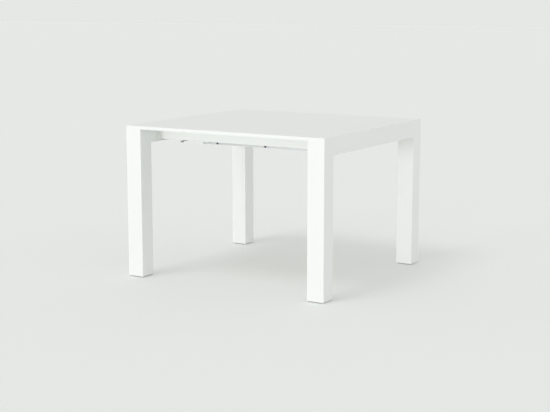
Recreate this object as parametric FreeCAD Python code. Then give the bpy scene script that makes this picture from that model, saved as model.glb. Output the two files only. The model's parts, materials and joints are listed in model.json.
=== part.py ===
import FreeCAD, Part
import os
from math import cos, radians, sin, sqrt

# Extending dining table, closed, in millimetres.
# X runs along the way the table opens, Y from the front edge to the back edge, Z up from the floor.
# The left end frame carries a short top and draws out to the left on two telescopic runners.
# The right end frame carries the long top. A folded leaf lies under the long top on bearers that
# ride on the runners, so that it comes to lie under the gap when the table is opened.

# Outer sizes
closed_length = 1100.0
table_width = 1030.0
table_height = 750.0
post = 86.0
top_thickness = 16.0
sliding_length = 344.0
edge_radius = 1.2
hairline = 0.4

# Feet
pad_height = 4.0
pad_inset = 9.0
pad_corner = 6.0

# Tongues inside the mitres
tongue_thickness = 6.0
tongue_reach = 20.0
tongue_width = 56.0

# Seam and leaf
seam_gap = 1.0
leaf_bay_spare = 170.0
leaf_headroom = 7.0
fold_gap = 1.0
felt_width = 12.0
felt_inset = 40.0

# Dowels in the seam edges
dowel_radius = 4.0
dowel_set = 18.0
dowel_reach = 12.0
dowel_place = 300.0
dowel_clearance = 0.3
dowel_relief = 2.0

# Side rails and what holds the tops
rail_recess = 140.0
rail_thickness = 18.0
rail_depth = 56.0
cleat_size = 20.0
seam_bar_width = 40.0
seam_bar_thickness = 4.0
seam_bar_setback = 6.0
bracket_leg = 40.0
bracket_height = 40.0
bracket_sheet = 2.5

# Telescopic runners
runner_drop = 12.0
runner_height = 43.0
runner_reach = 21.5
wall = 2.0
glide_thickness = 2.5
glide_length = 30.0
running_gap = 0.3
tube_proud = 0.5
runner_end_gap = 9.0
middle_setback = 6.0
packer_length = 40.0

# Cross ties between the outer profiles, placed from the seam
tie_places = (86.0, 355.0)
tie_across = 9.0
tie_clearance = 1.5
skirt_margin = 1.2
tie_bolt_radius = 2.5
tie_bolt_depth = 16.0
tie_head_across = 9.0
tie_head_height = 3.0
tie_washer_length = 30.0
tie_washer_height = 9.0
tie_washer_sheet = 1.5

# Leaf bearers, set in from the leaf's ends
bearer_margin = 40.0
bearer_width = 40.0
bearer_thickness = 15.0
end_block_length = 28.0

# Leaf hinges, set in from the leaf's ends
hinge_setback = 90.0
hinge_length = 60.0
hinge_width = 26.0
hinge_sheet = 1.5
knuckle_radius = 3.0
pin_radius = 1.5
pin_clearance = 0.1
hinge_clearance = 0.3

# Swing hooks and keepers
hook_setback = 117.0
hook_reach = 83.0
hook_tail = 14.0
hook_lead = 6.0
hook_trail = 10.0
hook_sheet = 3.0
hook_play = 0.1
bush_radius = 6.0
bush_height = 5.0
pivot_radius = 3.0
pivot_clearance = 0.08
pivot_head_across = 13.0
pivot_head_height = 3.5
pivot_depth = 16.0
stud_radius = 4.0
stud_length = 7.5
slot_clearance = 1.0
keeper_overlap = 47.0
keeper_hold = 41.0
keeper_sheet = 3.0
keeper_slip = 0.5
keeper_lip = 10.5
keeper_lip_start = 37.0
keeper_lip_run = 10.0
keeper_lip_sheet = 2.0
keeper_side_gap = 1.0

# Bolts
bolt_radius = 3.0
bolt_depth = 14.0
bolt_head_across = 10.0
bolt_head_height = 4.0
hole_clearance = 0.1

# Levels
top_under = table_height - top_thickness
rail_bottom = top_under - rail_depth
dowel_level = table_height - top_thickness / 2
upper_leaf_z = (top_under - leaf_headroom - top_thickness, top_under - leaf_headroom)
fold_level = upper_leaf_z[0] - fold_gap / 2
lower_leaf_z = (upper_leaf_z[0] - fold_gap - top_thickness, upper_leaf_z[0] - fold_gap)
upper_recess = (upper_leaf_z[0], upper_leaf_z[0] + hinge_sheet)
lower_recess = (lower_leaf_z[1] - hinge_sheet, lower_leaf_z[1])
bearer_z = (lower_leaf_z[0] - bearer_thickness, lower_leaf_z[0])
tie_top = min(bearer_z[0] - tie_clearance, rail_bottom - running_gap)
tie_level = tie_top - max(tie_across, tie_head_across) / sqrt(3)
skirt_bottom = tie_level - tie_head_across / sqrt(3) - skirt_margin
keeper_top = rail_bottom - keeper_slip
keeper_under = keeper_top - keeper_sheet
hook_top = rail_bottom - bush_height - hook_play
hook_under = hook_top - hook_sheet

# Places along X
end_x = closed_length / 2
frame_x = end_x - post
seam_x = sliding_length - end_x
left_edge = seam_x - seam_gap / 2
right_edge = seam_x + seam_gap / 2
leaf_length = frame_x - seam_x - leaf_bay_spare
leaf_right = seam_x + leaf_length
outer_x = (right_edge, frame_x - bracket_leg - runner_end_gap)
middle_x = (seam_x + middle_setback, outer_x[1] - runner_end_gap)
tube_x = (runner_end_gap - frame_x, leaf_right + middle_setback)
pivot_x = seam_x - hook_setback
stud_x = pivot_x + hook_reach
first_bolt_x = bracket_leg + runner_end_gap + packer_length / 2 - frame_x
last_bolt_x = left_edge - runner_end_gap - packer_length / 2
bolt_x = (first_bolt_x, last_bolt_x)
tie_x = [seam_x + place for place in tie_places]
bearer_x = (seam_x + bearer_margin, (seam_x + leaf_right) / 2, leaf_right - bearer_margin)
hinge_x = (seam_x + hinge_setback, leaf_right - hinge_setback)

# Places along Y, as distances from the middle
half_width = table_width / 2
leaf_half = table_width / 4
rail_front = half_width - rail_recess
rail_back = rail_front - rail_thickness
rail_middle = (rail_front + rail_back) / 2
dowel_y = (-dowel_place, dowel_place)
leaf_dowel_y = leaf_half - dowel_place

# Nested runner sections: outer profile, middle profile, inner tube
step = glide_thickness + running_gap
outer_z = (top_under - runner_drop - runner_height, top_under - runner_drop)
outer_room = (outer_z[0] + wall, outer_z[1] - wall)
middle_z = (outer_room[0] + step, outer_room[1] - step)
middle_room = (middle_z[0] + wall, middle_z[1] - wall)
middle_web = wall + step
middle_face = middle_web + wall
tube_z = (middle_room[0] + step, middle_room[1] - step)
tube_web = middle_face + step
tube_face = runner_reach + tube_proud
tube_level = (tube_z[0] + tube_z[1]) / 2

FRONT = -1
BACK = 1
LEFT = -1
RIGHT = 1
BOTH_SIDES = (FRONT, BACK)
SIDE_NAMES = {FRONT: "front", BACK: "back"}
X_AXIS = FreeCAD.Vector(1, 0, 0)
Y_AXIS = FreeCAD.Vector(0, 1, 0)
Z_AXIS = FreeCAD.Vector(0, 0, 1)
ORIGIN = FreeCAD.Vector(0, 0, 0)


def block(x, y, z):
    """Box between pairs of limits, given in either order."""
    low = [min(pair) for pair in (x, y, z)]
    size = [abs(pair[1] - pair[0]) for pair in (x, y, z)]
    return Part.makeBox(size[0], size[1], size[2], FreeCAD.Vector(*low))


def rod(radius, start, finish):
    """Cylinder from one point to another."""
    first = FreeCAD.Vector(*start)
    way = FreeCAD.Vector(*finish) - first
    return Part.makeCylinder(radius, way.Length, first, way)


def hexagon(across, start, finish):
    """Hexagonal bar from one point to another, by its width across flats."""
    first = FreeCAD.Vector(*start)
    way = FreeCAD.Vector(*finish) - first
    corner = across / sqrt(3)
    turns = [radians(60 * n) for n in range(7)]
    points = [FreeCAD.Vector(corner * cos(turn), corner * sin(turn), 0) for turn in turns]
    shape = Part.Face(Part.makePolygon(points)).extrude(Z_AXIS * way.Length)
    shape.Placement = FreeCAD.Placement(first, FreeCAD.Rotation(Z_AXIS, way))
    return shape


def joined(*shapes):
    return shapes[0].multiFuse(list(shapes[1:])).removeSplitter()


def about(middle, length):
    """Limits of a length centred on a place."""
    return (middle - length / 2, middle + length / 2)


def inward(side, distances):
    """Limits along Y at distances inward from the inner face of a side rail."""
    return tuple(side * (rail_back - distance) for distance in distances)


def cross_rod(radius, side, x, distances, z):
    """Cylinder along Y between distances inward from the inner face of a side rail."""
    ends = inward(side, distances)
    return rod(radius, (x, ends[0], z), (x, ends[1], z))


def upright(radius, side, x, z):
    """Standing cylinder on the middle line of a side rail."""
    y = side * rail_middle
    return rod(radius, (x, y, z[0]), (x, y, z[1]))


def straight_edges(shape, axis, wanted):
    """Edges along an axis whose middle point passes a test."""
    found = []
    for edge in shape.Edges:
        way = edge.Vertexes[-1].Point - edge.Vertexes[0].Point
        if way.Length > 0 and abs(way.normalize().dot(axis)) > 0.999 and wanted(edge.CenterOfMass):
            found.append(edge)
    return found


def eased(shape, axis, wanted=lambda point: True):
    return shape.makeFillet(edge_radius, straight_edges(shape, axis, wanted))


def prism(outline, x):
    """Outline of points in the Y Z plane, drawn out along X."""
    points = [FreeCAD.Vector(x[0], y, z) for y, z in outline]
    face = Part.Face(Part.makePolygon(points + points[:1]))
    return face.extrude(X_AXIS * (x[1] - x[0]))


def save(name, *shapes):
    solids = [solid for shape in shapes for solid in shape.Solids]
    result = solids[0] if len(solids) == 1 else Part.makeCompound(solids)
    result.exportStep("parts/" + name + ".step")


# End frames: two legs and a crossbar of one square section, mitred at the top corners
def corner_waste(side):
    """What the rounded outer edge of a mitre takes off along X."""
    low = table_height - edge_radius
    inset = side * (half_width - edge_radius)
    square = block((-end_x, end_x), (inset, side * half_width), (low, table_height))
    return square.cut(rod(edge_radius, (-end_x, inset, low), (end_x, inset, low)))


def tongue(end, side):
    """Loose tongue across the middle of a mitre."""
    shape = block(about(0, tongue_width), about(0, 2 * tongue_reach), about(0, tongue_thickness))
    shape.rotate(ORIGIN, X_AXIS, 45 if side == FRONT else 135)
    inset = post / 2
    middle = (end * (end_x - inset), side * (half_width - inset), table_height - inset)
    shape.translate(FreeCAD.Vector(*middle))
    return shape


def leg(end, side):
    outer = side * half_width
    inner = side * (half_width - post)
    outline = [
        (outer, pad_height),
        (outer, table_height),
        (inner, table_height - post),
        (inner, pad_height),
    ]
    shape = eased(prism(outline, (end * frame_x, end * end_x)), Z_AXIS)
    return shape.cut([corner_waste(side), tongue(end, side)])


def crossbar(end):
    inner = half_width - post
    outline = [
        (-half_width, table_height),
        (half_width, table_height),
        (inner, table_height - post),
        (-inner, table_height - post),
    ]
    shape = prism(outline, (end * frame_x, end * end_x))
    # The upper inner edge stays square, because the top meets it there
    shape = eased(shape, Y_AXIS, lambda p: p.z < top_under or abs(p.x) > end_x - edge_radius)
    return shape.cut([cut for side in BOTH_SIDES for cut in (corner_waste(side), tongue(end, side))])


def foot_pad(end, side):
    x = (end * (frame_x + pad_inset), end * (end_x - pad_inset))
    y = (side * (half_width - post + pad_inset), side * (half_width - pad_inset))
    shape = block(x, y, (0, pad_height))
    return shape.makeChamfer(pad_corner, straight_edges(shape, Z_AXIS, lambda p: True))


# Tops, with dowels across the seam
def dowel(x, y, z):
    """Dowel set in the edge at x and standing out of it to the right."""
    return rod(dowel_radius, (x - dowel_set, y, z), (x + dowel_reach, y, z))


def dowel_seat(x, y, z):
    return rod(dowel_radius + hole_clearance, (x - dowel_set, y, z), (x, y, z))


def dowel_hole(x, y, z):
    """Hole in the edge at x that takes the standing end of a dowel."""
    depth = dowel_reach + dowel_relief
    return rod(dowel_radius + dowel_clearance, (x, y, z), (x + depth, y, z))


def top_panel(x):
    shape = eased(block(x, (-half_width, half_width), (top_under, table_height)), X_AXIS)
    ends = straight_edges(shape, Y_AXIS, lambda p: p.z > table_height - hairline)
    return shape.makeChamfer(hairline, ends)


def cleat(end):
    """Batten on the crossbar's inner face that the end of the top is screwed to."""
    reach = rail_back - bracket_leg - runner_end_gap
    x = (end * frame_x, end * (frame_x - cleat_size))
    return block(x, (-reach, reach), (top_under - cleat_size, top_under))


def seam_bar(start, way):
    """Flat bar under the seam edge of a top."""
    reach = rail_back - tube_face - seam_bar_setback
    first = start + way * seam_bar_setback
    z = (top_under - seam_bar_thickness, top_under)
    return block((first, first + way * seam_bar_width), (-reach, reach), z)


def corner_bracket(end, side):
    z = about((rail_bottom + top_under) / 2, bracket_height)
    corner = end * frame_x
    along = block((corner, corner - end * bracket_leg), inward(side, (0, bracket_sheet)), z)
    across = block((corner, corner - end * bracket_sheet), inward(side, (0, bracket_leg)), z)
    return joined(along, across)


# Side rails
def rail(x, side):
    shape = block(x, (side * rail_front, side * rail_back), (rail_bottom, top_under))
    return eased(shape, X_AXIS, lambda p: p.z < rail_bottom + edge_radius)


def left_rail(side):
    bolt_hole = bolt_radius + hole_clearance
    holes = [cross_rod(bolt_hole, side, x, (0, -bolt_depth), tube_level) for x in bolt_x]
    pivot_hole = pivot_radius + hole_clearance
    holes.append(upright(pivot_hole, side, pivot_x, (rail_bottom, rail_bottom + pivot_depth)))
    return rail((-frame_x, left_edge), side).cut(holes)


# Telescopic runners, from the outside in
def extrusion(x, side, section):
    """Section of points, each a distance inward from the rail and a level, drawn out along X."""
    return prism([(side * (rail_back - distance), z) for distance, z in section], x)


def trough(x, side, web, thickness, z, skirt=None):
    """Section open to the middle of the table: a web with two flanges, and a skirt if one is wanted."""
    face = web + thickness
    section = [
        (face, z[0] + thickness),
        (face, z[1] - thickness),
        (runner_reach, z[1] - thickness),
        (runner_reach, z[1]),
        (web, z[1]),
    ]
    if skirt is None:
        section.append((web, z[0]))
    else:
        section += [(web, skirt), (face, skirt), (face, z[0])]
    section += [(runner_reach, z[0]), (runner_reach, z[0] + thickness)]
    return extrusion(x, side, section)


def outer_runner(side):
    bolt_hole = tie_bolt_radius + hole_clearance
    holes = [cross_rod(bolt_hole, side, x, (0, wall), tie_level) for x in tie_x]
    return trough(outer_x, side, 0, wall, outer_z, skirt_bottom).cut(holes)


def outer_glide(side):
    x = (outer_x[0], outer_x[0] + glide_length)
    return trough(x, side, wall, glide_thickness, outer_room)


def middle_glides(side):
    mouth_x = (middle_x[0], middle_x[0] + glide_length)
    tail_x = (middle_x[1] - glide_length, middle_x[1])
    y = inward(side, (middle_web, runner_reach))
    return [
        trough(mouth_x, side, middle_face, glide_thickness, middle_room),
        block(tail_x, y, (outer_room[0] + running_gap, middle_z[0])),
        block(tail_x, y, (middle_z[1], outer_room[1] - running_gap)),
    ]


def inner_tube(side):
    bolt_hole = bolt_radius + hole_clearance
    cuts = [cross_rod(bolt_hole, side, x, (tube_web, tube_face), tube_level) for x in bolt_x]
    inside = (tube_z[0] + wall, tube_z[1] - wall)
    cuts.append(block(tube_x, inward(side, (tube_web + wall, tube_face - wall)), inside))
    return block(tube_x, inward(side, (tube_web, tube_face)), tube_z).cut(cuts)


def tube_glide(side):
    """Glide around the tail of an inner tube."""
    x = (tube_x[1] - glide_length, tube_x[1])
    around = block(
        x,
        inward(side, (middle_face + running_gap, runner_reach)),
        (middle_room[0] + running_gap, middle_room[1] - running_gap),
    )
    return around.cut(block(x, inward(side, (tube_web, tube_face)), tube_z))


def packer(side, x):
    """Packer between a left rail and an inner tube, slotted to slide in around the bolt."""
    y = inward(side, (0, tube_web))
    slot_half = bolt_radius + hole_clearance
    slot = block(about(x, 2 * slot_half), y, (tube_z[0], tube_level + slot_half))
    return block(about(x, packer_length), y, tube_z).cut(slot)


def tube_bolt(side, x):
    shank = cross_rod(bolt_radius, side, x, (-bolt_depth, tube_face), tube_level)
    ends = inward(side, (tube_face, tube_face + bolt_head_height))
    head = hexagon(bolt_head_across, (x, ends[0], tube_level), (x, ends[1], tube_level))
    return joined(shank, head)


# Cross ties between the skirts of the outer profiles
def cross_tie(x):
    """Hexagonal bar with a tapped hole in each end."""
    reach = rail_back - wall
    hole = tie_bolt_radius + hole_clearance
    depths = (wall, wall + tie_bolt_depth)
    shape = hexagon(tie_across, (x, -reach, tie_level), (x, reach, tie_level))
    return shape.cut([cross_rod(hole, side, x, depths, tie_level) for side in BOTH_SIDES])


def tie_washer(side, x):
    """Long washer, slotted to slide up under the bolt head."""
    y = inward(side, (-tie_washer_sheet, 0))
    z = about(tie_level, tie_washer_height)
    slot_half = tie_bolt_radius + hole_clearance
    slot = block(about(x, 2 * slot_half), y, (z[0], tie_level + slot_half))
    return block(about(x, tie_washer_length), y, z).cut(slot)


def tie_bolt(side, x):
    seat = -tie_washer_sheet
    shank = cross_rod(tie_bolt_radius, side, x, (seat, wall + tie_bolt_depth), tie_level)
    ends = inward(side, (seat - tie_head_height, seat))
    head = hexagon(tie_head_across, (x, ends[0], tie_level), (x, ends[1], tie_level))
    return joined(shank, head)


# Folded leaf on its bearers
def bearer(x):
    reach = rail_back - tube_face
    return block(about(x, bearer_width), (-reach, reach), bearer_z)


def end_block(side, x):
    """Block on the end of a bearer that is fixed to the face of the inner tube."""
    y = inward(side, (tube_face, tube_face + end_block_length))
    return block(about(x, bearer_width), y, (bearer_z[1], tube_z[1]))


def knuckle(radius, x):
    return rod(radius, (x[0], leaf_half, fold_level), (x[1], leaf_half, fold_level))


def hinge_plate(x, z, own, other):
    """Plate of a hinge with its own knuckle, cleared for the other plate's knuckle."""
    plate = block(x, (leaf_half - hinge_width, leaf_half), z)
    plate = plate.cut(knuckle(knuckle_radius + hinge_clearance, other))
    return joined(plate, knuckle(knuckle_radius, own)).cut(knuckle(pin_radius + pin_clearance, x))


def hinge_parts(middle):
    """Lower plate, upper plate and pin of one hinge, closed at the fold."""
    x = about(middle, hinge_length)
    first = (x[0], middle - hinge_clearance)
    second = (middle, x[1])
    lower = hinge_plate(x, lower_recess, first, second)
    upper = hinge_plate(x, upper_recess, second, (x[0], middle))
    return lower, upper, knuckle(pin_radius, x)


def leaf_panel(z, recess):
    """Half of the leaf, with dowel seats, dowel holes and hinge recesses."""
    shape = block((seam_x, leaf_right), (-leaf_half, leaf_half), z)
    shape = eased(shape, X_AXIS, lambda p: p.y < 0)
    level = (z[0] + z[1]) / 2
    cuts = [dowel_seat(leaf_right, leaf_dowel_y, level), dowel_hole(seam_x, leaf_dowel_y, level)]
    for middle in hinge_x:
        x = about(middle, hinge_length)
        cuts.append(block(x, (leaf_half - hinge_width, leaf_half), recess))
        cuts.append(knuckle(knuckle_radius + hinge_clearance, x))
    return shape.cut(cuts)


def felt_strip(y):
    """Strip between the folded halves."""
    x = (seam_x + felt_inset, leaf_right - felt_inset)
    return block(x, about(y, felt_width), (lower_leaf_z[1], upper_leaf_z[0]))


# Swing hooks under the left rails and keepers under the right rails
def bush(side):
    z = (rail_bottom - bush_height, rail_bottom)
    bore = upright(pivot_radius + hole_clearance, side, pivot_x, z)
    return upright(bush_radius, side, pivot_x, z).cut(bore)


def pivot_bolt(side):
    seat = hook_under - hook_play
    y = side * rail_middle
    shank = upright(pivot_radius, side, pivot_x, (seat, rail_bottom + pivot_depth))
    head = hexagon(pivot_head_across, (pivot_x, y, seat - pivot_head_height), (pivot_x, y, seat))
    return joined(shank, head)


def hook(side):
    """Swing hook, released and pointing to the middle of the table."""
    y = -rail_middle
    z = (hook_under, hook_top)
    across = (pivot_x - hook_trail, pivot_x + hook_lead)
    bar = block(across, (y, y + hook_reach + hook_tail), z)
    eye = upright(hook_trail, FRONT, pivot_x, z)
    slot_radius = stud_radius + slot_clearance
    slot_y = y + hook_reach
    slot = block((pivot_x, pivot_x + 2 * hook_lead), about(slot_y, 2 * slot_radius), z)
    slot_end = rod(slot_radius, (pivot_x, slot_y, z[0]), (pivot_x, slot_y, z[1]))
    bore = upright(pivot_radius + pivot_clearance, FRONT, pivot_x, z)
    shape = joined(bar, eye).cut([slot, slot_end, bore])
    return shape if side == FRONT else shape.mirror(ORIGIN, Y_AXIS)


def keeper(side):
    reach = (right_edge - keeper_overlap, right_edge + keeper_hold)
    y = (side * rail_front, side * (rail_back + keeper_side_gap))
    plate = block(reach, y, (keeper_under, keeper_top))
    seat = block((right_edge + seam_gap, reach[1]), y, (keeper_under, rail_bottom))
    lip_y = (side * (rail_front - keeper_lip_sheet), side * rail_front)
    lip_x = (right_edge - keeper_lip_start, right_edge + keeper_lip_run)
    lip = block(lip_x, lip_y, (keeper_top - keeper_lip, keeper_top))
    return joined(plate, seat, lip)


def stud(side):
    """Pin welded under a keeper for the hook to swing on to."""
    return upright(stud_radius, side, stud_x, (keeper_under - stud_length, keeper_under))


os.makedirs("parts", exist_ok=True)

for end, name in ((LEFT, "left"), (RIGHT, "right")):
    save(name + "_crossbar", crossbar(end))
    save(name + "_mitre_tongues", *[tongue(end, side) for side in BOTH_SIDES])
    save(name + "_foot_pads", *[foot_pad(end, side) for side in BOTH_SIDES])
    save(name + "_cleat", cleat(end))
    save(name + "_corner_brackets", *[corner_bracket(end, side) for side in BOTH_SIDES])
    for side in BOTH_SIDES:
        save(name + "_" + SIDE_NAMES[side] + "_leg", leg(end, side))

dowel_seats = [dowel_seat(left_edge, y, dowel_level) for y in dowel_y]
dowel_holes = [dowel_hole(right_edge, y, dowel_level) for y in dowel_y]
save("left_top", top_panel((-frame_x, left_edge)).cut(dowel_seats))
save("right_top", top_panel((right_edge, frame_x)).cut(dowel_holes))
save("top_dowels", *[dowel(left_edge, y, dowel_level) for y in dowel_y])
save("left_seam_bar", seam_bar(left_edge, LEFT))
save("right_seam_bar", seam_bar(right_edge, RIGHT))

for side in BOTH_SIDES:
    name = SIDE_NAMES[side]
    save("left_" + name + "_rail", left_rail(side))
    save("right_" + name + "_rail", rail((right_edge, frame_x), side))
    save(name + "_outer_runner", outer_runner(side))
    save(name + "_middle_runner", trough(middle_x, side, middle_web, wall, middle_z))
    save(name + "_middle_glides", *middle_glides(side))
    save(name + "_inner_runner", inner_tube(side))
    save(name + "_hook", hook(side))

save("outer_glides", *[outer_glide(side) for side in BOTH_SIDES])
save("inner_glides", *[tube_glide(side) for side in BOTH_SIDES])
save("runner_packers", *[packer(side, x) for side in BOTH_SIDES for x in bolt_x])
save("runner_bolts", *[tube_bolt(side, x) for side in BOTH_SIDES for x in bolt_x])

save("cross_ties", *[cross_tie(x) for x in tie_x])
save("tie_washers", *[tie_washer(side, x) for side in BOTH_SIDES for x in tie_x])
save("tie_bolts", *[tie_bolt(side, x) for side in BOTH_SIDES for x in tie_x])

hinges = [hinge_parts(middle) for middle in hinge_x]
save("leaf_lower_half", leaf_panel(lower_leaf_z, lower_recess))
save("leaf_upper_half", leaf_panel(upper_leaf_z, upper_recess))
save("leaf_lower_hinge_plates", *[parts[0] for parts in hinges])
save("leaf_upper_hinge_plates", *[parts[1] for parts in hinges])
save("leaf_hinge_pins", *[parts[2] for parts in hinges])
save("leaf_felt_strips", felt_strip(felt_inset - leaf_half), felt_strip(leaf_half - 2 * felt_inset))
leaf_levels = [sum(z) / 2 for z in (lower_leaf_z, upper_leaf_z)]
save("leaf_dowels", *[dowel(leaf_right, leaf_dowel_y, z) for z in leaf_levels])
save("leaf_bearers", *[bearer(x) for x in bearer_x])
save("bearer_end_blocks", *[end_block(side, x) for side in BOTH_SIDES for x in bearer_x])

save("hook_bushes", *[bush(side) for side in BOTH_SIDES])
save("hook_pivot_bolts", *[pivot_bolt(side) for side in BOTH_SIDES])
save("keepers", *[keeper(side) for side in BOTH_SIDES])
save("keeper_studs", *[stud(side) for side in BOTH_SIDES])
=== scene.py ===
import json
from math import cos, pi, radians, sin, tau

import bmesh
import bpy
from mathutils import Matrix, Vector


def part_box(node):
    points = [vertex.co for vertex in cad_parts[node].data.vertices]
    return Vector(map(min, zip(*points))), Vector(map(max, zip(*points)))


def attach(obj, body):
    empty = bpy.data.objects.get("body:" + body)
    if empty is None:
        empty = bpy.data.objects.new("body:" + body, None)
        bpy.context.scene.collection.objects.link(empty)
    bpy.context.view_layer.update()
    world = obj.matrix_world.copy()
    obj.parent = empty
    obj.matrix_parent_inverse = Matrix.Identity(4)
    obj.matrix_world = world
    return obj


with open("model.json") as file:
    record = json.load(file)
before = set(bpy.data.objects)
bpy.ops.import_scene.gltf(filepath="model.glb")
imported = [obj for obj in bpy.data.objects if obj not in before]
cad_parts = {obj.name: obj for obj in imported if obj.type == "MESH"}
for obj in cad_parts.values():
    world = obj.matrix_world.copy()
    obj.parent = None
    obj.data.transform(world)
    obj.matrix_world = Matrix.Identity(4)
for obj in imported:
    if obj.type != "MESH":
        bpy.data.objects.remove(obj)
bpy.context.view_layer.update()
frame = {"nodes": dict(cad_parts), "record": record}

# White extending table: finishes for the CAD pieces, small screws, floor, light and camera, in metres

scene = bpy.context.scene


# Colours and nodes
def linear(colour):
    """Linear colour of an sRGB hex value."""
    parts = [int(colour[n:n + 2], 16) / 255 for n in (1, 3, 5)]
    return [c / 12.92 if c <= 0.04045 else ((c + 0.055) / 1.055) ** 2.4 for c in parts] + [1.0]


def fill(tree, node, inputs):
    """Gives inputs, by name or place, a value or a link from a node or one of its outputs."""
    for key, value in inputs.items():
        names = [s for s in node.inputs if s.enabled and s.name == key]
        socket = names[0] if names else node.inputs[key]
        if isinstance(value, bpy.types.Node):
            value = next(s for s in value.outputs if s.enabled)
        if isinstance(value, bpy.types.NodeSocket):
            tree.links.new(value, socket)
        else:
            socket.default_value = value


def add(tree, kind, inputs=None, **settings):
    """Adds a node with its settings and inputs."""
    node = tree.nodes.new(kind)
    for key, value in settings.items():
        setattr(node, key, value)
    fill(tree, node, inputs or {})
    return node


def start_finish(name):
    """New material, its tree, its shader, and object coordinates in metres."""
    made = bpy.data.materials.new(name)
    made.use_nodes = True
    tree = made.node_tree
    coords = add(tree, "ShaderNodeTexCoord").outputs["Object"]
    return made, tree, tree.nodes["Principled BSDF"], coords


def per_metre(size):
    """Repeats in a metre of a pattern of so many millimetres."""
    return 1000 / size


# Stretch of a pattern along the grain of wood or the draw of a metal profile
GRAIN_ALONG_X = (0.06, 1.0, 1.0)
GRAIN_ALONG_Y = (1.0, 0.06, 1.0)
DRAWN_ALONG_X = (0.01, 1.0, 1.0)


# Finishes
def sprayed_lacquer():
    """Polyurethane lacquer sprayed on board: an even white with a satin sheen and a faint orange peel."""
    made, tree, shader, coords = start_finish("sprayed_white_lacquer")
    # Coats that differ a little in thickness, over about 300 mm
    coats = add(tree, "ShaderNodeTexNoise", {"Vector": coords, "Scale": per_metre(300), "Detail": 1.0})
    tone = add(
        tree,
        "ShaderNodeMix",
        {"Factor": coats, "A": linear("#F0F2F0"), "B": linear("#EDEFED")},
        data_type="RGBA",
    )
    # Sheen left by rubbing down, in patches of about 40 mm
    rubbing = add(tree, "ShaderNodeTexNoise", {"Vector": coords, "Scale": per_metre(40), "Detail": 5.0})
    sheen = add(
        tree,
        "ShaderNodeMapRange",
        {"Value": rubbing, "From Min": 0.3, "From Max": 0.7, "To Min": 0.48, "To Max": 0.6},
    )
    # Orange peel is about 1.5 mm across, and is drawn at 2.5 mm so that it shows
    peel = add(tree, "ShaderNodeTexNoise", {"Vector": coords, "Scale": per_metre(2.5), "Detail": 1.0})
    relief = add(tree, "ShaderNodeBump", {"Height": peel, "Distance": 0.00003, "Strength": 0.5})
    fill(tree, shader, {"Base Color": tone, "Roughness": sheen, "IOR": 1.5, "Normal": relief})
    return made


def planed_beech(name, stretch):
    """Planed steamed beech: pinkish brown, faint growth bands, fine pores and short dark ray flecks."""
    made, tree, shader, coords = start_finish(name)
    along = add(tree, "ShaderNodeMapping", {"Vector": coords, "Scale": stretch})
    # Growth bands about 4 mm wide, pores of 0.3 mm drawn at 1 mm to show, flecks about 1 mm wide
    bands = add(tree, "ShaderNodeTexNoise", {"Vector": along, "Scale": per_metre(8), "Detail": 4.0})
    pores = add(tree, "ShaderNodeTexNoise", {"Vector": along, "Scale": per_metre(1), "Detail": 3.0})
    rays = add(tree, "ShaderNodeTexVoronoi", {"Vector": along, "Scale": per_metre(2.5)})
    wood = add(
        tree,
        "ShaderNodeMix",
        {"Factor": bands, "A": linear("#DDB68C"), "B": linear("#C5966A")},
        data_type="RGBA",
    )
    flecks = add(
        tree,
        "ShaderNodeMapRange",
        {"Value": rays.outputs["Distance"], "From Min": 0.08, "From Max": 0.2, "To Min": 0.5, "To Max": 0.0},
    )
    flecked = add(
        tree,
        "ShaderNodeMix",
        {"Factor": flecks, "A": wood, "B": linear("#93653F")},
        data_type="RGBA",
    )
    roughness = add(tree, "ShaderNodeMapRange", {"Value": pores, "To Min": 0.4, "To Max": 0.66})
    relief = add(tree, "ShaderNodeBump", {"Height": pores, "Distance": 0.00006, "Strength": 0.7})
    fill(tree, shader, {"Base Color": flecked, "Roughness": roughness, "IOR": 1.5, "Normal": relief})
    return made


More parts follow.
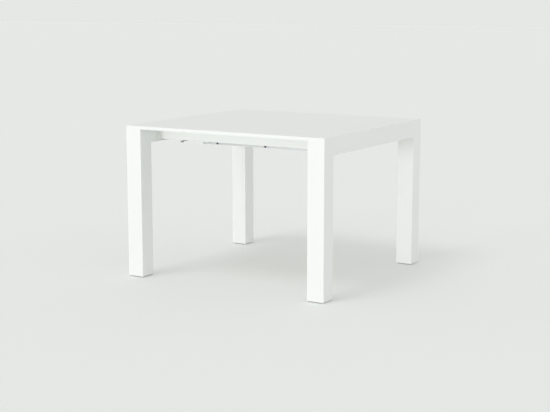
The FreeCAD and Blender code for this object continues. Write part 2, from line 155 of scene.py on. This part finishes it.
def birch_plywood():
    """Lacquered birch plywood: pale faces with grain along Y, dark and light veneers on the edges."""
    made, tree, shader, coords = start_finish("lacquered_birch_plywood")
    along = add(tree, "ShaderNodeMapping", {"Vector": coords, "Scale": GRAIN_ALONG_Y})
    # Flame figure about 25 mm wide and grain lines of 1 mm on the faces
    flame = add(tree, "ShaderNodeTexNoise", {"Vector": along, "Scale": per_metre(25), "Detail": 4.0})
    grain = add(tree, "ShaderNodeTexNoise", {"Vector": along, "Scale": per_metre(1), "Detail": 4.0})
    pale = add(
        tree,
        "ShaderNodeMix",
        {"Factor": flame, "A": linear("#E9D6B6"), "B": linear("#DCC49E")},
        data_type="RGBA",
    )
    lines = add(
        tree,
        "ShaderNodeMapRange",
        {"Value": grain, "From Min": 0.5, "From Max": 0.8, "To Min": 0.0, "To Max": 0.4},
    )
    face = add(
        tree,
        "ShaderNodeMix",
        {"Factor": lines, "A": pale, "B": linear("#BD9D71")},
        data_type="RGBA",
    )
    # Veneers 1.4 mm thick, every other one cut across its grain, blurred a little at the glue line
    veneer, glue_line = 0.0014, 0.0002
    height = add(tree, "ShaderNodeSeparateXYZ", {"Vector": coords}).outputs["Z"]
    fold = add(tree, "ShaderNodeMath", {0: height, 1: veneer}, operation="PINGPONG")
    veneers = add(
        tree,
        "ShaderNodeMapRange",
        {"Value": fold, "From Min": (veneer - glue_line) / 2, "From Max": (veneer + glue_line) / 2},
    )
    edge = add(
        tree,
        "ShaderNodeMix",
        {"Factor": veneers, "A": linear("#E0C79F"), "B": linear("#B48D5F")},
        data_type="RGBA",
    )
    # What lies nearer to level than to upright is a face, the rest is an edge
    least_level = 0.7
    normal = add(tree, "ShaderNodeNewGeometry").outputs["Normal"]
    rise = add(tree, "ShaderNodeSeparateXYZ", {"Vector": normal}).outputs["Z"]
    level = add(tree, "ShaderNodeMath", {0: rise}, operation="ABSOLUTE")
    flat = add(tree, "ShaderNodeMath", {0: level, 1: least_level}, operation="GREATER_THAN")
    tone = add(tree, "ShaderNodeMix", {"Factor": flat, "A": edge, "B": face}, data_type="RGBA")
    roughness = add(tree, "ShaderNodeMapRange", {"Value": grain, "To Min": 0.36, "To Max": 0.56})
    relief = add(tree, "ShaderNodeBump", {"Height": grain, "Distance": 0.00005, "Strength": 0.6})
    fill(tree, shader, {"Base Color": tone, "Roughness": roughness, "IOR": 1.5, "Normal": relief})
    return made


def anodised_aluminium():
    """Extruded aluminium, satin anodised: a soft grey with die lines along the profile."""
    made, tree, shader, coords = start_finish("satin_anodised_aluminium")
    along = add(tree, "ShaderNodeMapping", {"Vector": coords, "Scale": DRAWN_ALONG_X})
    # Die lines of 0.2 mm are drawn at 0.9 mm so that they show
    lines = add(tree, "ShaderNodeTexNoise", {"Vector": along, "Scale": per_metre(0.9), "Detail": 3.0})
    cloud = add(tree, "ShaderNodeTexNoise", {"Vector": coords, "Scale": per_metre(60), "Detail": 3.0})
    tone = add(
        tree,
        "ShaderNodeMix",
        {"Factor": cloud, "A": linear("#C9CCCC"), "B": linear("#BDC0C0")},
        data_type="RGBA",
    )
    roughness = add(tree, "ShaderNodeMapRange", {"Value": lines, "To Min": 0.28, "To Max": 0.46})
    relief = add(tree, "ShaderNodeBump", {"Height": lines, "Distance": 0.00002, "Strength": 0.8})
    fill(tree, shader, {"Base Color": tone, "Metallic": 1.0, "Roughness": roughness, "Normal": relief})
    return made


def treated_steel(name, bright, dull, roughest):
    """Steel with a thin coat: clouded in tone, with a fine crystalline change of sheen."""
    made, tree, shader, coords = start_finish(name)
    # Clouds of the bath about 18 mm across. Crystals are far finer, drawn at 1.5 mm so that they show
    crystal_change = 0.14
    cloud = add(tree, "ShaderNodeTexNoise", {"Vector": coords, "Scale": per_metre(18), "Detail": 4.0})
    crystals = add(tree, "ShaderNodeTexVoronoi", {"Vector": coords, "Scale": per_metre(1.5)})
    tone = add(
        tree,
        "ShaderNodeMix",
        {"Factor": cloud, "A": linear(bright), "B": linear(dull)},
        data_type="RGBA",
    )
    roughness = add(
        tree,
        "ShaderNodeMapRange",
        {"Value": crystals.outputs["Color"], "To Min": roughest - crystal_change, "To Max": roughest},
    )
    relief = add(tree, "ShaderNodeBump", {"Height": cloud, "Distance": 0.00002, "Strength": 0.5})
    fill(tree, shader, {"Base Color": tone, "Metallic": 1.0, "Roughness": roughness, "Normal": relief})
    return made


def moulded_plastic(name, colour, flow, roughest, grain):
    """Injection-moulded plastic: slight flow marks and the fine grain of a spark-eroded mould."""
    made, tree, shader, coords = start_finish(name)
    # Flow marks about 30 mm long. The mould's grain of 0.1 mm is drawn coarser so that it shows
    grain_change = 0.2
    marks = add(tree, "ShaderNodeTexNoise", {"Vector": coords, "Scale": per_metre(30), "Detail": 3.0})
    pits = add(tree, "ShaderNodeTexNoise", {"Vector": coords, "Scale": per_metre(grain), "Detail": 2.0})
    tone = add(
        tree,
        "ShaderNodeMix",
        {"Factor": marks, "A": linear(colour), "B": linear(flow)},
        data_type="RGBA",
    )
    roughness = add(
        tree,
        "ShaderNodeMapRange",
        {"Value": pits, "To Min": roughest - grain_change, "To Max": roughest},
    )
    relief = add(tree, "ShaderNodeBump", {"Height": pits, "Distance": 0.00003, "Strength": 0.6})
    fill(tree, shader, {"Base Color": tone, "Roughness": roughness, "IOR": 1.5, "Normal": relief})
    return made


def pressed_felt():
    """Grey wool felt, pressed: mottled fibres with no shine."""
    made, tree, shader, coords = start_finish("pressed_grey_felt")
    # Tufts of fibre about 1.2 mm across
    fibres = add(
        tree,
        "ShaderNodeTexNoise",
        {"Vector": coords, "Scale": per_metre(1.2), "Detail": 8.0, "Roughness": 0.75},
    )
    tone = add(
        tree,
        "ShaderNodeMix",
        {"Factor": fibres, "A": linear("#36373A"), "B": linear("#77787A")},
        data_type="RGBA",
    )
    relief = add(tree, "ShaderNodeBump", {"Height": fibres, "Distance": 0.0003})
    fill(tree, shader, {"Base Color": tone, "Roughness": 0.95, "Sheen Weight": 0.4, "Normal": relief})
    return made


def baked_powder_coat():
    """White polyester powder baked on steel: a closed, slightly pebbled skin with a dull shine."""
    made, tree, shader, coords = start_finish("baked_white_powder_coat")
    # Pebbles about 1.2 mm across, and coats that differ over about 20 mm
    pebbles = add(tree, "ShaderNodeTexNoise", {"Vector": coords, "Scale": per_metre(1.2), "Detail": 2.0})
    coats = add(tree, "ShaderNodeTexNoise", {"Vector": coords, "Scale": per_metre(20), "Detail": 2.0})
    tone = add(
        tree,
        "ShaderNodeMix",
        {"Factor": coats, "A": linear("#F0F2F0"), "B": linear("#EAECEA")},
        data_type="RGBA",
    )
    roughness = add(tree, "ShaderNodeMapRange", {"Value": pebbles, "To Min": 0.4, "To Max": 0.6})
    relief = add(tree, "ShaderNodeBump", {"Height": pebbles, "Distance": 0.00005, "Strength": 0.7})
    fill(tree, shader, {"Base Color": tone, "Roughness": roughness, "IOR": 1.5, "Normal": relief})
    return made


zinc = treated_steel("zinc_plated_steel", "#CDD0D3", "#B0B4B8", 0.44)
finishes = {
    "white_lacquer": sprayed_lacquer(),
    "beech": planed_beech("planed_beech_along_y", GRAIN_ALONG_Y),
    "birch_plywood": birch_plywood(),
    "grey_aluminium": anodised_aluminium(),
    "white_acetal": moulded_plastic("natural_white_acetal", "#EEECE4", "#E4E2D9", 0.46, 1.5),
    "black_plastic": moulded_plastic("black_nylon", "#242526", "#1B1C1D", 0.62, 0.9),
    "zinc_steel": zinc,
    "white_steel": baked_powder_coat(),
    "black_steel": treated_steel("black_phosphated_steel", "#4C4E50", "#3A3C3E", 0.56),
    "pad_plastic": moulded_plastic("grey_polyethylene", "#A3A5A3", "#969896", 0.66, 1.1),
    "felt": pressed_felt(),
}
beech_along_x = planed_beech("planed_beech_along_x", GRAIN_ALONG_X)
for piece in frame["record"]["subparts"]:
    name = piece["node"]
    finish = beech_along_x if name.endswith("_dowels") else finishes[piece["material_slot"]]
    for slot in frame["nodes"][name].material_slots:
        slot.material = finish


# Objects
def place(name, data):
    """New object with its mesh, lamp or lens, at the scene's origin."""
    made = bpy.data.objects.new(name, data)
    scene.collection.objects.link(made)
    return made


def keep(shape, name):
    """Object made of a bmesh, which is freed."""
    mesh = bpy.data.meshes.new(name)
    shape.to_mesh(mesh)
    shape.free()
    return place(name, mesh)


def as_plain_mesh(carrier, name):
    """New object with a carrier's finished mesh. The carrier is removed."""
    graph = bpy.context.evaluated_depsgraph_get()
    mesh = bpy.data.meshes.new_from_object(carrier.evaluated_get(graph), depsgraph=graph)
    bpy.data.objects.remove(carrier)
    return place(name, mesh)


# Pan-head screws with a cross recess
def turned(profile, sides):
    """Closed shape turned about Z, from radius and height pairs that start and end on the axis."""
    shape = bmesh.new()
    rings = []
    for radius, height in profile:
        turns = [tau * n / sides for n in range(sides if radius else 1)]
        rings.append([shape.verts.new((radius * cos(a), radius * sin(a), height)) for a in turns])
    for low, high in zip(rings, rings[1:]):
        for n in range(sides):
            m = (n + 1) % sides
            corners = [low[n % len(low)], low[m % len(low)], high[m % len(high)], high[n % len(high)]]
            shape.faces.new(dict.fromkeys(corners))
    bmesh.ops.recalc_face_normals(shape, faces=shape.faces)
    return shape


def screw_head():
    """Head of unit radius and height: broken under edge, straight rim, domed crown, cross recess."""
    seat_radius, edge_height, rim = 0.95, 0.12, 0.4
    crown_steps, sides = 5, 24
    profile = [(0, 0), (seat_radius, 0), (1, edge_height), (1, rim)]
    for n in range(1, crown_steps):
        turn = n / crown_steps * pi / 2
        profile.append((cos(turn), rim + (1 - rim) * sin(turn)))
    head = keep(turned(profile + [(0, 1)], sides), "screw_blank")
    arm_length, arm_width, recess_depth = 1.1, 0.22, 0.65
    arms = bmesh.new()
    for turn in (0, pi / 2):
        size = Matrix.Diagonal((arm_length, arm_width, 2 * recess_depth, 1))
        at_crown = Matrix.Translation((0, 0, 1)) @ Matrix.Rotation(turn, 4, "Z")
        bmesh.ops.create_cube(arms, size=1, matrix=at_crown @ size)
    cutter = keep(arms, "recess_cutter")
    recess = head.modifiers.new("recess", "BOOLEAN")
    recess.object = cutter
    recess.use_self = True
    made = as_plain_mesh(head, "screw_head")
    bpy.data.objects.remove(cutter)
    return made


def screw_tree(head):
    """Tree that sets a head on each seat, along the seat's facing and turned by its spin."""
    tree = bpy.data.node_groups.new("screws_on_seats", "GeometryNodeTree")
    names = {}
    for name, kind in (
        ("Seats", "NodeSocketGeometry"),
        ("Head radius", "NodeSocketFloat"),
        ("Head height", "NodeSocketFloat"),
        ("Finish", "NodeSocketMaterial"),
    ):
        names[name] = tree.interface.new_socket(name, in_out="INPUT", socket_type=kind).identifier
    tree.interface.new_socket("Screws", in_out="OUTPUT", socket_type="NodeSocketGeometry")
    given = add(tree, "NodeGroupInput").outputs
    facing = add(tree, "GeometryNodeInputNamedAttribute", {"Name": "facing"}, data_type="FLOAT_VECTOR")
    spin = add(tree, "GeometryNodeInputNamedAttribute", {"Name": "spin"}, data_type="FLOAT")
    aim = add(tree, "FunctionNodeAlignRotationToVector", {"Vector": facing}, axis="Z")
    about = add(tree, "FunctionNodeAxisAngleToRotation", {"Axis": (0, 0, 1), "Angle": spin})
    turn = add(
        tree,
        "FunctionNodeRotateRotation",
        {"Rotation": aim, "Rotate By": about},
        rotation_space="LOCAL",
    )
    size = add(
        tree,
        "ShaderNodeCombineXYZ",
        {"X": given["Head radius"], "Y": given["Head radius"], "Z": given["Head height"]},
    )
    points = add(tree, "GeometryNodeMeshToPoints", {"Mesh": given["Seats"]})
    shape = add(tree, "GeometryNodeObjectInfo", {"Object": head}).outputs["Geometry"]
    heads = add(
        tree,
        "GeometryNodeInstanceOnPoints",
        {"Points": points, "Instance": shape, "Rotation": turn, "Scale": size},
    )
    real = add(tree, "GeometryNodeRealizeInstances", {"Geometry": heads})
    coated = add(tree, "GeometryNodeSetMaterial", {"Geometry": real, "Material": given["Finish"]})
    add(tree, "NodeGroupOutput", {"Screws": coated})
    return tree, names


SCREW_HEAD = screw_head()
SCREW_TREE, SCREW_INPUTS = screw_tree(SCREW_HEAD)
HEAD_RADIUS, HEAD_HEIGHT = 0.0036, 0.0016
# Turn of a recess from that of the screw before it, in radians, so that no two line up
SPIN_STEP = 1.9


def drive_screws(name, body, seats):
    """Screws on seats, each a point and the way its head faces, as one piece that rides on a body."""
    mesh = bpy.data.meshes.new(name + "_seats")
    mesh.from_pydata([point for point, way in seats], [], [])
    facing = mesh.attributes.new("facing", "FLOAT_VECTOR", "POINT")
    facing.data.foreach_set("vector", [part for point, way in seats for part in way])
    spin = mesh.attributes.new("spin", "FLOAT", "POINT")
    spin.data.foreach_set("value", [SPIN_STEP * n for n in range(len(seats))])
    carrier = place(name + "_seats", mesh)
    maker = carrier.modifiers.new("screws", "NODES")
    maker.node_group = SCREW_TREE
    maker[SCREW_INPUTS["Head radius"]] = HEAD_RADIUS
    maker[SCREW_INPUTS["Head height"]] = HEAD_HEIGHT
    maker[SCREW_INPUTS["Finish"]] = zinc
    made = as_plain_mesh(carrier, name)
    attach(made, body)


def spaced(low, high, margin, count):
    """Places between two ends, the first and last set in by a margin."""
    step = (high - low - 2 * margin) / (count - 1)
    return [low + margin + n * step for n in range(count)]


DOWN, UP = (0, 0, -1), (0, 0, 1)
SIDES = (("front", 1), ("back", -1))

# Screws in the corner brackets, seam bars and cleats of both ends
BRACKET_SHEET, BRACKET_HOLE, BRACKET_MARGIN = 0.0025, 0.028, 0.011
SEAM_BAR_MARGIN, SEAM_BAR_SCREWS = 0.03, 6
CLEAT_TOP_MARGIN, CLEAT_TOP_SCREWS = 0.05, 5
CLEAT_SIDE_MARGIN, CLEAT_SIDE_SCREWS = 0.1, 4
for end, outward, body in (("left", -1, "sliding_section"), ("right", 1, "fixed_section")):
    seats = []
    low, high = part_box(end + "_crossbar")
    inner = high.x if end == "left" else low.x
    low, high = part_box(end + "_corner_brackets")
    for side, inward in SIDES:
        rail_low, rail_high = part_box(end + "_" + side + "_rail")
        face = rail_high.y if side == "front" else rail_low.y
        for z in (low.z + BRACKET_MARGIN, high.z - BRACKET_MARGIN):
            at_rail = (inner - outward * BRACKET_HOLE, face + inward * BRACKET_SHEET, z)
            at_crossbar = (inner - outward * BRACKET_SHEET, face + inward * BRACKET_HOLE, z)
            seats += [(at_rail, (0, inward, 0)), (at_crossbar, (-outward, 0, 0))]
    low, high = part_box(end + "_seam_bar")
    middle = (low.x + high.x) / 2
    places = spaced(low.y, high.y, SEAM_BAR_MARGIN, SEAM_BAR_SCREWS)
    seats += [((middle, y, low.z), DOWN) for y in places]
    low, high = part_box(end + "_cleat")
    middle, level = (low.x + high.x) / 2, (low.z + high.z) / 2
    places = spaced(low.y, high.y, CLEAT_TOP_MARGIN, CLEAT_TOP_SCREWS)
    seats += [((middle, y, low.z), DOWN) for y in places]
    face = high.x if end == "left" else low.x
    places = spaced(low.y, high.y, CLEAT_SIDE_MARGIN, CLEAT_SIDE_SCREWS)
    seats += [((face, y, level), (-outward, 0, 0)) for y in places]
    drive_screws(end + "_end_screws", body, seats)

# Screws through the webs of the outer runners and up through the keepers
RUNNER_WALL, RUNNER_MARGIN, RUNNER_SCREWS = 0.002, 0.07, 4
KEEPER_SHEET, KEEPER_SLIP, KEEPER_SETBACKS = 0.003, 0.0005, (0.014, 0.030)
keeper_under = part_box("keepers")[1].z - KEEPER_SLIP - KEEPER_SHEET
seats = []
for side, inward in SIDES:
    low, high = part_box(side + "_outer_runner")
    web = (low.y if side == "front" else high.y) + inward * RUNNER_WALL
    tube_low, tube_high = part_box(side + "_inner_runner")
    level = (tube_low.z + tube_high.z) / 2
    places = spaced(low.x, high.x, RUNNER_MARGIN, RUNNER_SCREWS)
    seats += [((x, web, level), (0, inward, 0)) for x in places]
    low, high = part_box("right_" + side + "_rail")
    middle = (low.y + high.y) / 2
    seats += [((low.x + setback, middle, keeper_under), DOWN) for setback in KEEPER_SETBACKS]
drive_screws("runner_and_keeper_screws", "fixed_section", seats)

# Two screws down through each end of a leaf bearer
BEARER_MARGIN, BEARERS = 0.02, 3
BLOCK_SETBACK, HALF_PITCH = 0.014, 0.01
low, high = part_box("bearer_end_blocks")
seats = []
for x in spaced(low.x, high.x, BEARER_MARGIN, BEARERS):
    for y in (low.y + BLOCK_SETBACK, high.y - BLOCK_SETBACK):
        seats += [((x + offset, y, high.z), UP) for offset in (-HALF_PITCH, HALF_PITCH)]
drive_screws("bearer_screws", "sliding_section", seats)
bpy.data.objects.remove(SCREW_HEAD)

# Pale floor
FLOOR_REACH = 60.0
FLOOR_CORNERS = ((-1, -1), (1, -1), (1, 1), (-1, 1))
mesh = bpy.data.meshes.new("floor")
corners = [(x * FLOOR_REACH, y * FLOOR_REACH, 0) for x, y in FLOOR_CORNERS]
mesh.from_pydata(corners, [], [(0, 1, 2, 3)])
floor = place("floor", mesh)
paper, tree, shader, _ = start_finish("matt_paper_floor")
fill(tree, shader, {"Base Color": linear("#F4F7F4"), "Roughness": 0.9, "Specular IOR Level": 0.1})
mesh.materials.append(paper)

# Studio light: a surround that fades upwards, a low key in front, and a high soft lamp
# Strength of the surround at the horizon and overhead
HORIZON, ZENITH = 1.08, 0.58
world = bpy.data.worlds.new("studio")
scene.world = world
world.use_nodes = True
tree = world.node_tree
direction = add(tree, "ShaderNodeTexCoord").outputs["Generated"]
height = add(tree, "ShaderNodeSeparateXYZ", {"Vector": direction}).outputs["Z"]
glow = add(tree, "ShaderNodeMapRange", {"Value": height, "To Min": HORIZON, "To Max": ZENITH})
fill(tree, tree.nodes["Background"], {"Color": linear("#FFFFFF"), "Strength": glow})
backdrop = add(tree, "ShaderNodeBackground", {"Color": linear("#E5E8E5")})
rays = add(tree, "ShaderNodeLightPath").outputs
mirrored = add(
    tree,
    "ShaderNodeMath",
    {0: rays["Is Glossy Ray"], 1: rays["Is Transmission Ray"]},
    operation="MAXIMUM",
)
shown = add(tree, "ShaderNodeMath", {0: rays["Is Camera Ray"], 1: mirrored}, operation="MAXIMUM")
mixed = add(tree, "ShaderNodeMixShader", {0: shown, 1: tree.nodes["Background"], 2: backdrop})
fill(tree, tree.nodes["World Output"], {"Surface": mixed})
for name, toward, strength, softness in (
    ("key", (-0.22, -0.975, 0.06), 0.71, 10),
    ("high", (-0.2, -0.45, 0.87), 0.39, 25),
):
    lamp = bpy.data.lights.new(name, "SUN")
    lamp.energy = strength
    lamp.angle = radians(softness)
    place(name, lamp).rotation_euler = Vector(toward).to_track_quat("Z", "Y").to_euler()

# Camera, fitted to the corners of the table in a picture 550 pixels wide
PICTURE_WIDTH = 550
FOCAL_PIXELS = 1190.4
DOWN_TILT, TURN = 9.73, 30.99
STANDPOINT = (3.046, -5.094, 1.342)
lens = bpy.data.cameras.new("camera")
lens.sensor_width = 36
lens.lens = FOCAL_PIXELS * lens.sensor_width / PICTURE_WIDTH
camera = place("camera", lens)
camera.location = STANDPOINT
camera.rotation_euler = (radians(90 - DOWN_TILT), 0, radians(TURN))
scene.camera = camera
scene.view_settings.view_transform = "Standard"
